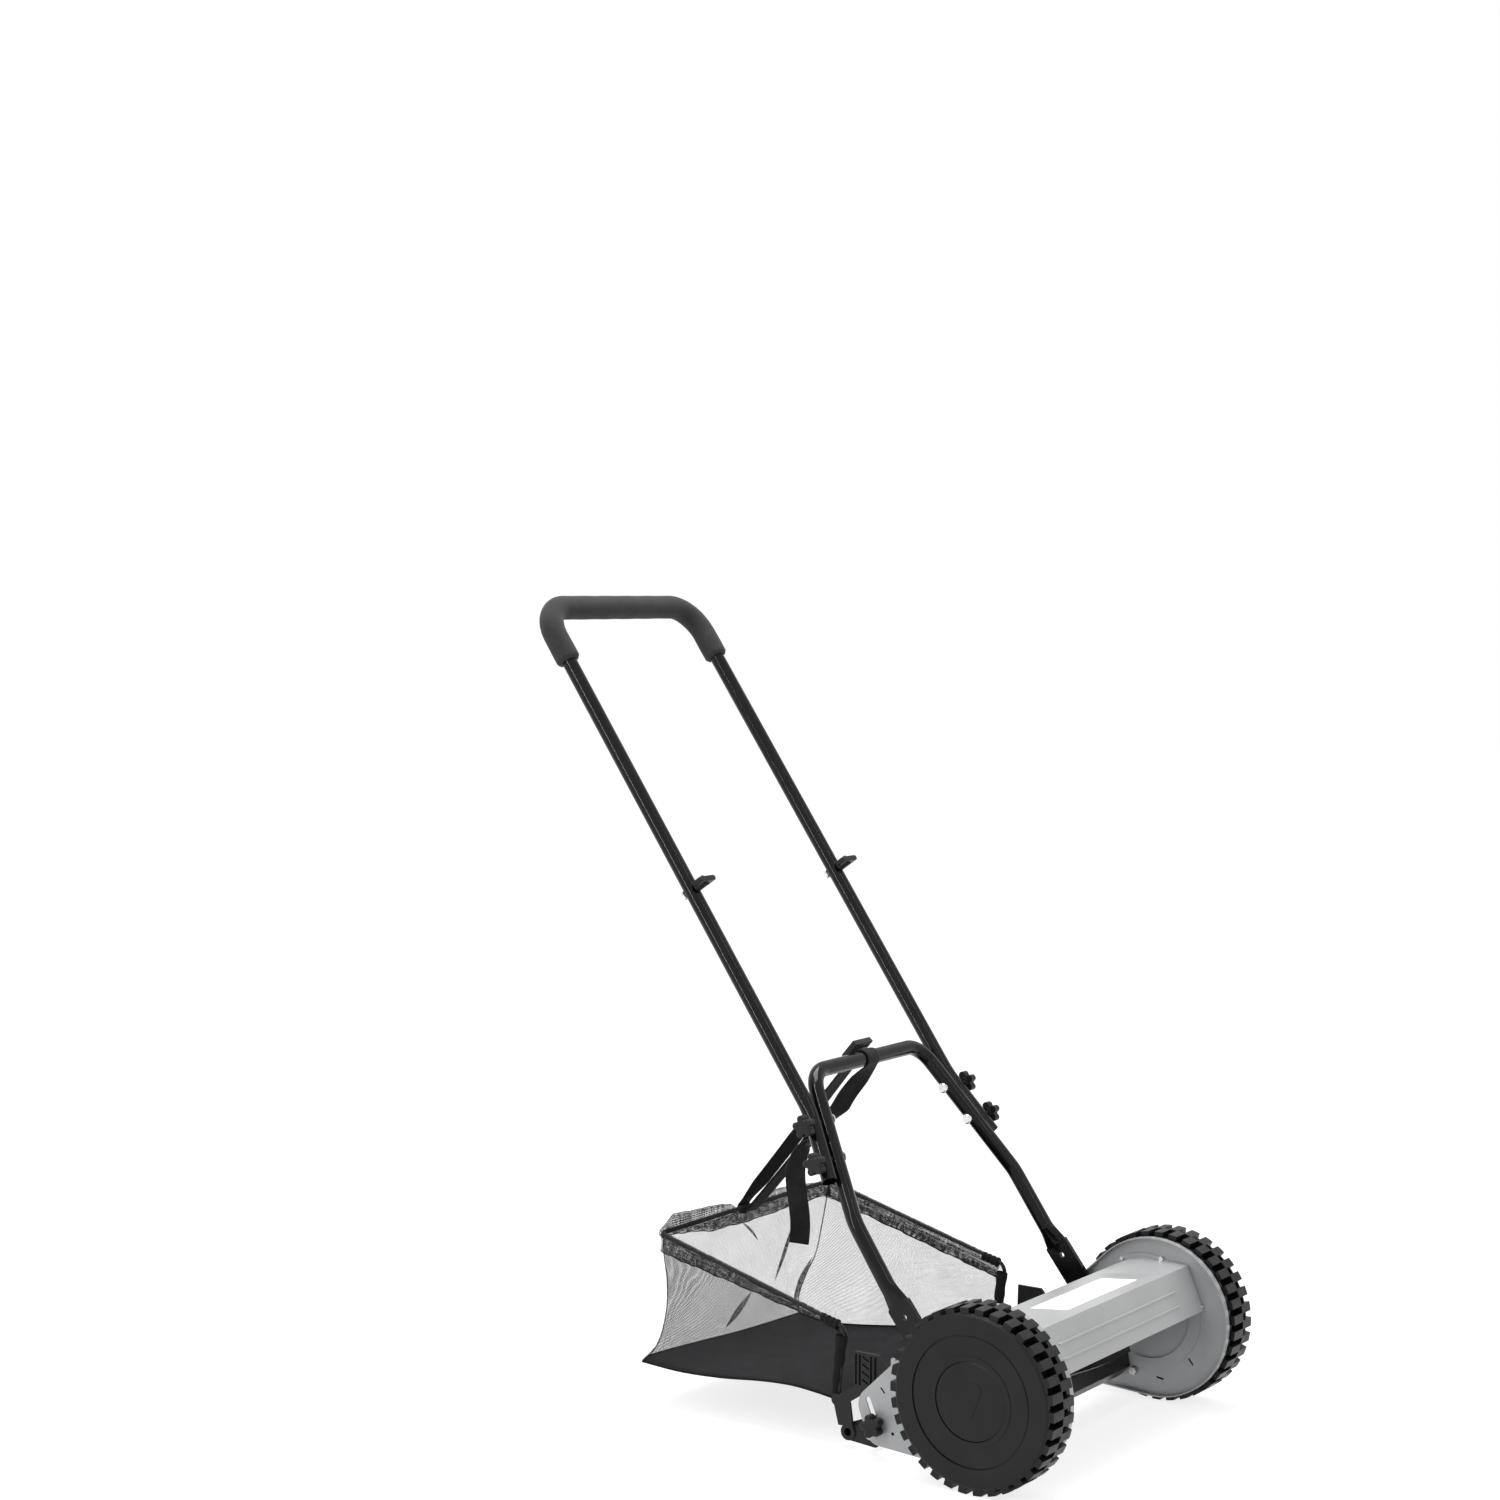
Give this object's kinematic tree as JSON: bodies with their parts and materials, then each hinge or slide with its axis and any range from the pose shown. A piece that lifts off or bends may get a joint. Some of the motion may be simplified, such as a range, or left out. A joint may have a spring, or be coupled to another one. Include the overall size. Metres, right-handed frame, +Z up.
{
  "type": "reel mower",
  "caption": "Push reel mower: geared wheels drive a helical blade reel against a bed knife; folding-tube handle, rear roller, hanging grass catcher.",
  "frame": {"origin": "on the ground under the middle of the whole mower's bounding box", "axes": "+Z up, -Y is the direction of pushing, +X is the operator's left"},
  "size_m": [0.5006, 0.8122, 0.9909],
  "materials": {
    "plate_grey": "satin",
    "cover_silver": "satin",
    "black_paint": "gloss",
    "carrier_black": "satin",
    "blade_black": "satin",
    "steel": "satin",
    "bright_bolt": "polished",
    "wheel_plastic": "matte",
    "cap_plastic": "satin",
    "bracket_plastic": "matte",
    "knob_plastic": "matte",
    "roller_plastic": "matte",
    "grip_foam": "matte",
    "bush_bronze": "satin",
    "catcher_wire": "gloss",
    "catcher_mesh": "matte",
    "catcher_cloth": "matte",
    "webbing": "matte",
    "buckle_plastic": "satin"
  },
  "bodies": {
    "frame": {"side_plate_left": "plate_grey", "side_plate_right": "plate_grey", "reel_cover": "cover_silver", "cover_rivets": "bright_bolt", "knife_carrier": "carrier_black", "bed_knife": "steel", "knife_screws": "steel", "knife_adjusters": "steel", "axle_stub_left": "steel", "axle_stub_right": "steel", "axle_nuts": "steel", "reel_bearing_left": "bush_bronze", "reel_bearing_right": "bush_bronze", "handle_pivots": "steel", "catcher_bracket_left": "bracket_plastic", "catcher_bracket_right": "bracket_plastic"},
    "wheel_left": {"wheel_left": "wheel_plastic", "hub_cap_left": "cap_plastic"},
    "wheel_right": {"wheel_right": "wheel_plastic", "hub_cap_right": "cap_plastic"},
    "reel": {"reel_shaft": "steel", "reel_spiders": "blade_black", "reel_blade_1": "blade_black", "reel_blade_2": "blade_black", "reel_blade_3": "blade_black", "reel_blade_4": "blade_black", "reel_blade_5": "blade_black", "pinion_left": "steel", "pinion_right": "steel", "pinion_rings": "steel"},
    "roller_carriage": {"roller_arm_left": "bracket_plastic", "roller_arm_right": "bracket_plastic", "roller_axle": "steel", "height_bolts": "steel"},
    "roller": {"rear_roller": "roller_plastic"},
    "handle": {"lower_tube": "black_paint", "middle_tube_left": "black_paint", "middle_tube_right": "black_paint", "grip_tube": "black_paint", "grip_foam": "grip_foam", "joint_bolts": "bright_bolt", "clamp_bolts": "bright_bolt"},
    "height_knob_left": {"height_knob_left": "knob_plastic"},
    "height_knob_right": {"height_knob_right": "knob_plastic"},
    "joint_knob_left": {"joint_knob_left": "knob_plastic"},
    "joint_knob_right": {"joint_knob_right": "knob_plastic"},
    "clamp_knob_upper_left": {"clamp_knob_upper_left": "knob_plastic"},
    "clamp_knob_upper_right": {"clamp_knob_upper_right": "knob_plastic"},
    "clamp_knob_lower_left": {"clamp_knob_lower_left": "knob_plastic"},
    "clamp_knob_lower_right": {"clamp_knob_lower_right": "knob_plastic"},
    "strap": {"strap_loop": "webbing", "strap_buckle": "buckle_plastic", "strap_slider": "buckle_plastic", "strap_tail": "webbing"},
    "catcher": {"catcher_wire": "catcher_wire", "catcher_side_left": "catcher_mesh", "catcher_side_right": "catcher_mesh", "catcher_floor": "catcher_cloth", "catcher_rear": "catcher_mesh"}
  },
  "joints": [
    {"name": "wheel_left_spin", "type": "hinge", "parent": "frame", "child": "wheel_left", "pos_m": [0.226, -0.30112, 0.105], "axis": [1, 0, 0], "continuous": true},
    {"name": "wheel_right_spin", "type": "hinge", "parent": "frame", "child": "wheel_right", "pos_m": [-0.226, -0.30112, 0.105], "axis": [1, 0, 0], "continuous": true},
    {"name": "reel_spin", "type": "hinge", "parent": "frame", "child": "reel", "pos_m": [0, -0.25942, 0.11], "axis": [1, 0, 0], "continuous": true},
    {"name": "cutting_height", "type": "slide", "parent": "frame", "child": "roller_carriage", "axis": [0, 0.3946, 0.9189], "range_m": [-0.003, 0.022]},
    {"name": "roller_spin", "type": "hinge", "parent": "roller_carriage", "child": "roller", "pos_m": [0, -0.12912, 0.02], "axis": [1, 0, 0], "continuous": true},
    {"name": "handle_tilt", "type": "hinge", "parent": "frame", "child": "handle", "pos_m": [0, -0.22612, 0.104], "axis": [1, 0, 0], "range_deg": [-6, 10]},
    {"name": "strap_swing", "type": "hinge", "parent": "handle", "child": "strap", "pos_m": [0, -0.00013, 0.4235], "axis": [1, 0, 0], "range_deg": [-5, 3.5]},
    {"name": "catcher_swing", "type": "hinge", "parent": "frame", "child": "catcher", "pos_m": [0, -0.08612, 0.056], "axis": [1, 0, 0], "range_deg": [-8, 13]},
    {"name": "height_knob_left_turn", "type": "hinge", "parent": "roller_carriage", "child": "height_knob_left", "pos_m": [0.208, -0.14713, 0.04], "axis": [1, 0, 0], "range_deg": [0, 270]},
    {"name": "joint_knob_left_turn", "type": "hinge", "parent": "handle", "child": "joint_knob_left", "pos_m": [0.157, 0.15288, 0.635], "axis": [0, -0.8198, 0.5727], "range_deg": [0, 270]},
    {"name": "clamp_knob_upper_left_turn", "type": "hinge", "parent": "handle", "child": "clamp_knob_upper_left", "pos_m": [0.16743, -0.03342, 0.371], "axis": [1, 0, 0], "range_deg": [0, 270]},
    {"name": "clamp_knob_lower_left_turn", "type": "hinge", "parent": "handle", "child": "clamp_knob_lower_left", "pos_m": [0.18335, -0.05963, 0.332], "axis": [1, 0, 0], "range_deg": [0, 270]},
    {"name": "height_knob_right_turn", "type": "hinge", "parent": "roller_carriage", "child": "height_knob_right", "pos_m": [-0.208, -0.14713, 0.04], "axis": [-1, 0, 0], "range_deg": [0, 270]},
    {"name": "joint_knob_right_turn", "type": "hinge", "parent": "handle", "child": "joint_knob_right", "pos_m": [-0.157, 0.15288, 0.635], "axis": [0, -0.8198, 0.5727], "range_deg": [0, 270]},
    {"name": "clamp_knob_upper_right_turn", "type": "hinge", "parent": "handle", "child": "clamp_knob_upper_right", "pos_m": [-0.16743, -0.03342, 0.371], "axis": [-1, 0, 0], "range_deg": [0, 270]},
    {"name": "clamp_knob_lower_right_turn", "type": "hinge", "parent": "handle", "child": "clamp_knob_lower_right", "pos_m": [-0.18335, -0.05963, 0.332], "axis": [-1, 0, 0], "range_deg": [0, 270]}
  ],
  "couplings": [
    {"joint": "wheel_right_spin", "follows": "wheel_left_spin", "ratio": 1},
    {"joint": "reel_spin", "follows": "wheel_left_spin", "ratio": 3.625},
    {"joint": "strap_swing", "follows": "handle_tilt", "ratio": -0.43},
    {"joint": "catcher_swing", "follows": "handle_tilt", "ratio": 1.24}
  ]
}
